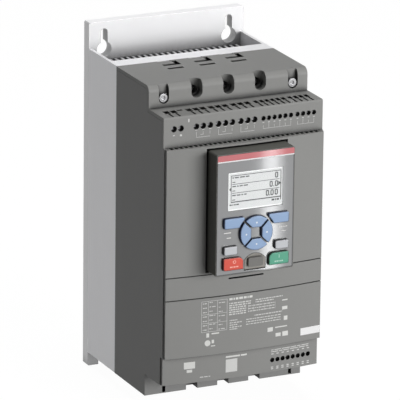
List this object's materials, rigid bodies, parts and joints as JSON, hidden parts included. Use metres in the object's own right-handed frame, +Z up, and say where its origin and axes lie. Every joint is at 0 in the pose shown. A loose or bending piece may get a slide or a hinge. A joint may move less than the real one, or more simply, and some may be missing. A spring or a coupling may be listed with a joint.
{
  "type": "soft starter",
  "caption": "Wall-mounted three-phase motor soft starter with finned heatsink, bowed grey front, control terminals and a plug-in keypad with display.",
  "frame": {"origin": "centre of the mounting plate's back face", "axes": "+Z up, +X to the right seen from the front, +Y into the wall, the front faces -Y"},
  "size_m": [0.15, 0.1973, 0.316],
  "materials": {
    "plate_metal": "satin extruded",
    "heatsink_metal": "satin extruded",
    "screw_steel": "bright plated",
    "clamp_steel": "plated",
    "housing_plastic": "fine grain",
    "cover_plastic": "fine grain",
    "board": "solder mask",
    "terminal_plastic": "moulded",
    "keypad_dark": "moulded",
    "keypad_silver": "silver film",
    "flap_grey": "moulded",
    "mat_rubber": "silicone",
    "display_white": "display",
    "lens_clear": "clear",
    "key_blue": "moulded",
    "key_grey": "moulded",
    "key_red": "moulded",
    "key_green": "moulded",
    "module_plastic": "moulded",
    "relay_plastic": "moulded",
    "busbar_metal": "tinned copper",
    "coil_plastic": "moulded"
  },
  "bodies": {
    "unit": {"mounting_plate": "plate_metal", "heatsink": "heatsink_metal", "plate_screws": "screw_steel", "cover_screws": "screw_steel", "relay_block_screws": "screw_steel", "signal_block_screws": "screw_steel", "lower_block_screws": "screw_steel", "clamp_screws": "screw_steel", "board_pillars": "screw_steel", "line_clamp_1": "clamp_steel", "line_clamp_2": "clamp_steel", "line_clamp_3": "clamp_steel", "load_clamp_1": "clamp_steel", "load_clamp_2": "clamp_steel", "load_clamp_3": "clamp_steel", "base_housing": "housing_plastic", "upper_cover": "cover_plastic", "control_cover": "cover_plastic", "front_cover": "cover_plastic", "lower_cover": "cover_plastic", "power_board": "board", "control_board": "board", "relay_block": "terminal_plastic", "signal_block": "terminal_plastic", "lower_block": "terminal_plastic", "keypad_socket": "terminal_plastic", "thyristor_module_1": "module_plastic", "thyristor_module_2": "module_plastic", "thyristor_module_3": "module_plastic", "bypass_relay_1": "relay_plastic", "bypass_relay_2": "relay_plastic", "bypass_relay_3": "relay_plastic", "line_busbar_1": "busbar_metal", "line_busbar_2": "busbar_metal", "line_busbar_3": "busbar_metal", "load_busbar_1": "busbar_metal", "load_busbar_2": "busbar_metal", "load_busbar_3": "busbar_metal", "current_coil_1": "coil_plastic", "current_coil_2": "coil_plastic", "current_coil_3": "coil_plastic"},
    "keypad": {"keypad_case": "keypad_dark", "keypad_face": "keypad_silver", "keypad_board": "board", "keypad_plug": "terminal_plastic", "key_mat": "mat_rubber", "display_module": "display_white", "display_lens": "lens_clear", "service_port": "screw_steel"},
    "soft_key_left": {"soft_key_left": "key_blue"},
    "soft_key_right": {"soft_key_right": "key_blue"},
    "arrow_key_up": {"arrow_key_up": "key_blue"},
    "arrow_key_left": {"arrow_key_left": "key_blue"},
    "arrow_key_down": {"arrow_key_down": "key_blue"},
    "arrow_key_right": {"arrow_key_right": "key_blue"},
    "help_key": {"help_key": "key_grey"},
    "mode_key": {"mode_key": "key_grey"},
    "stop_key": {"stop_key": "key_red"},
    "start_key": {"start_key": "key_green"},
    "port_flap": {"port_flap": "flap_grey"}
  },
  "joints": [
    {"name": "keypad_pull", "type": "slide", "parent": "unit", "child": "keypad", "axis": [0, -1, 0], "range_m": [0, 0.04]},
    {"name": "soft_key_left_press", "type": "slide", "parent": "keypad", "child": "soft_key_left", "axis": [0, 1, 0], "range_m": [0, 0.0008], "stiffness_N_per_m": 900},
    {"name": "soft_key_right_press", "type": "slide", "parent": "keypad", "child": "soft_key_right", "axis": [0, 1, 0], "range_m": [0, 0.0008], "stiffness_N_per_m": 900},
    {"name": "arrow_key_up_press", "type": "slide", "parent": "keypad", "child": "arrow_key_up", "axis": [0, 1, 0], "range_m": [0, 0.0008], "stiffness_N_per_m": 900},
    {"name": "arrow_key_left_press", "type": "slide", "parent": "keypad", "child": "arrow_key_left", "axis": [0, 1, 0], "range_m": [0, 0.0008], "stiffness_N_per_m": 900},
    {"name": "arrow_key_down_press", "type": "slide", "parent": "keypad", "child": "arrow_key_down", "axis": [0, 1, 0], "range_m": [0, 0.0008], "stiffness_N_per_m": 900},
    {"name": "arrow_key_right_press", "type": "slide", "parent": "keypad", "child": "arrow_key_right", "axis": [0, 1, 0], "range_m": [0, 0.0008], "stiffness_N_per_m": 900},
    {"name": "help_key_press", "type": "slide", "parent": "keypad", "child": "help_key", "axis": [0, 1, 0], "range_m": [0, 0.0008], "stiffness_N_per_m": 900},
    {"name": "mode_key_press", "type": "slide", "parent": "keypad", "child": "mode_key", "axis": [0, 1, 0], "range_m": [0, 0.0008], "stiffness_N_per_m": 900},
    {"name": "stop_key_press", "type": "slide", "parent": "keypad", "child": "stop_key", "axis": [0, 1, 0], "range_m": [0, 0.0008], "stiffness_N_per_m": 900},
    {"name": "start_key_press", "type": "slide", "parent": "keypad", "child": "start_key", "axis": [0, 1, 0], "range_m": [0, 0.0008], "stiffness_N_per_m": 900},
    {"name": "flap_swing", "type": "hinge", "parent": "keypad", "child": "port_flap", "pos_m": [0, -0.19305, -0.0192], "axis": [1, 0, 0], "range_deg": [0, 90]}
  ]
}
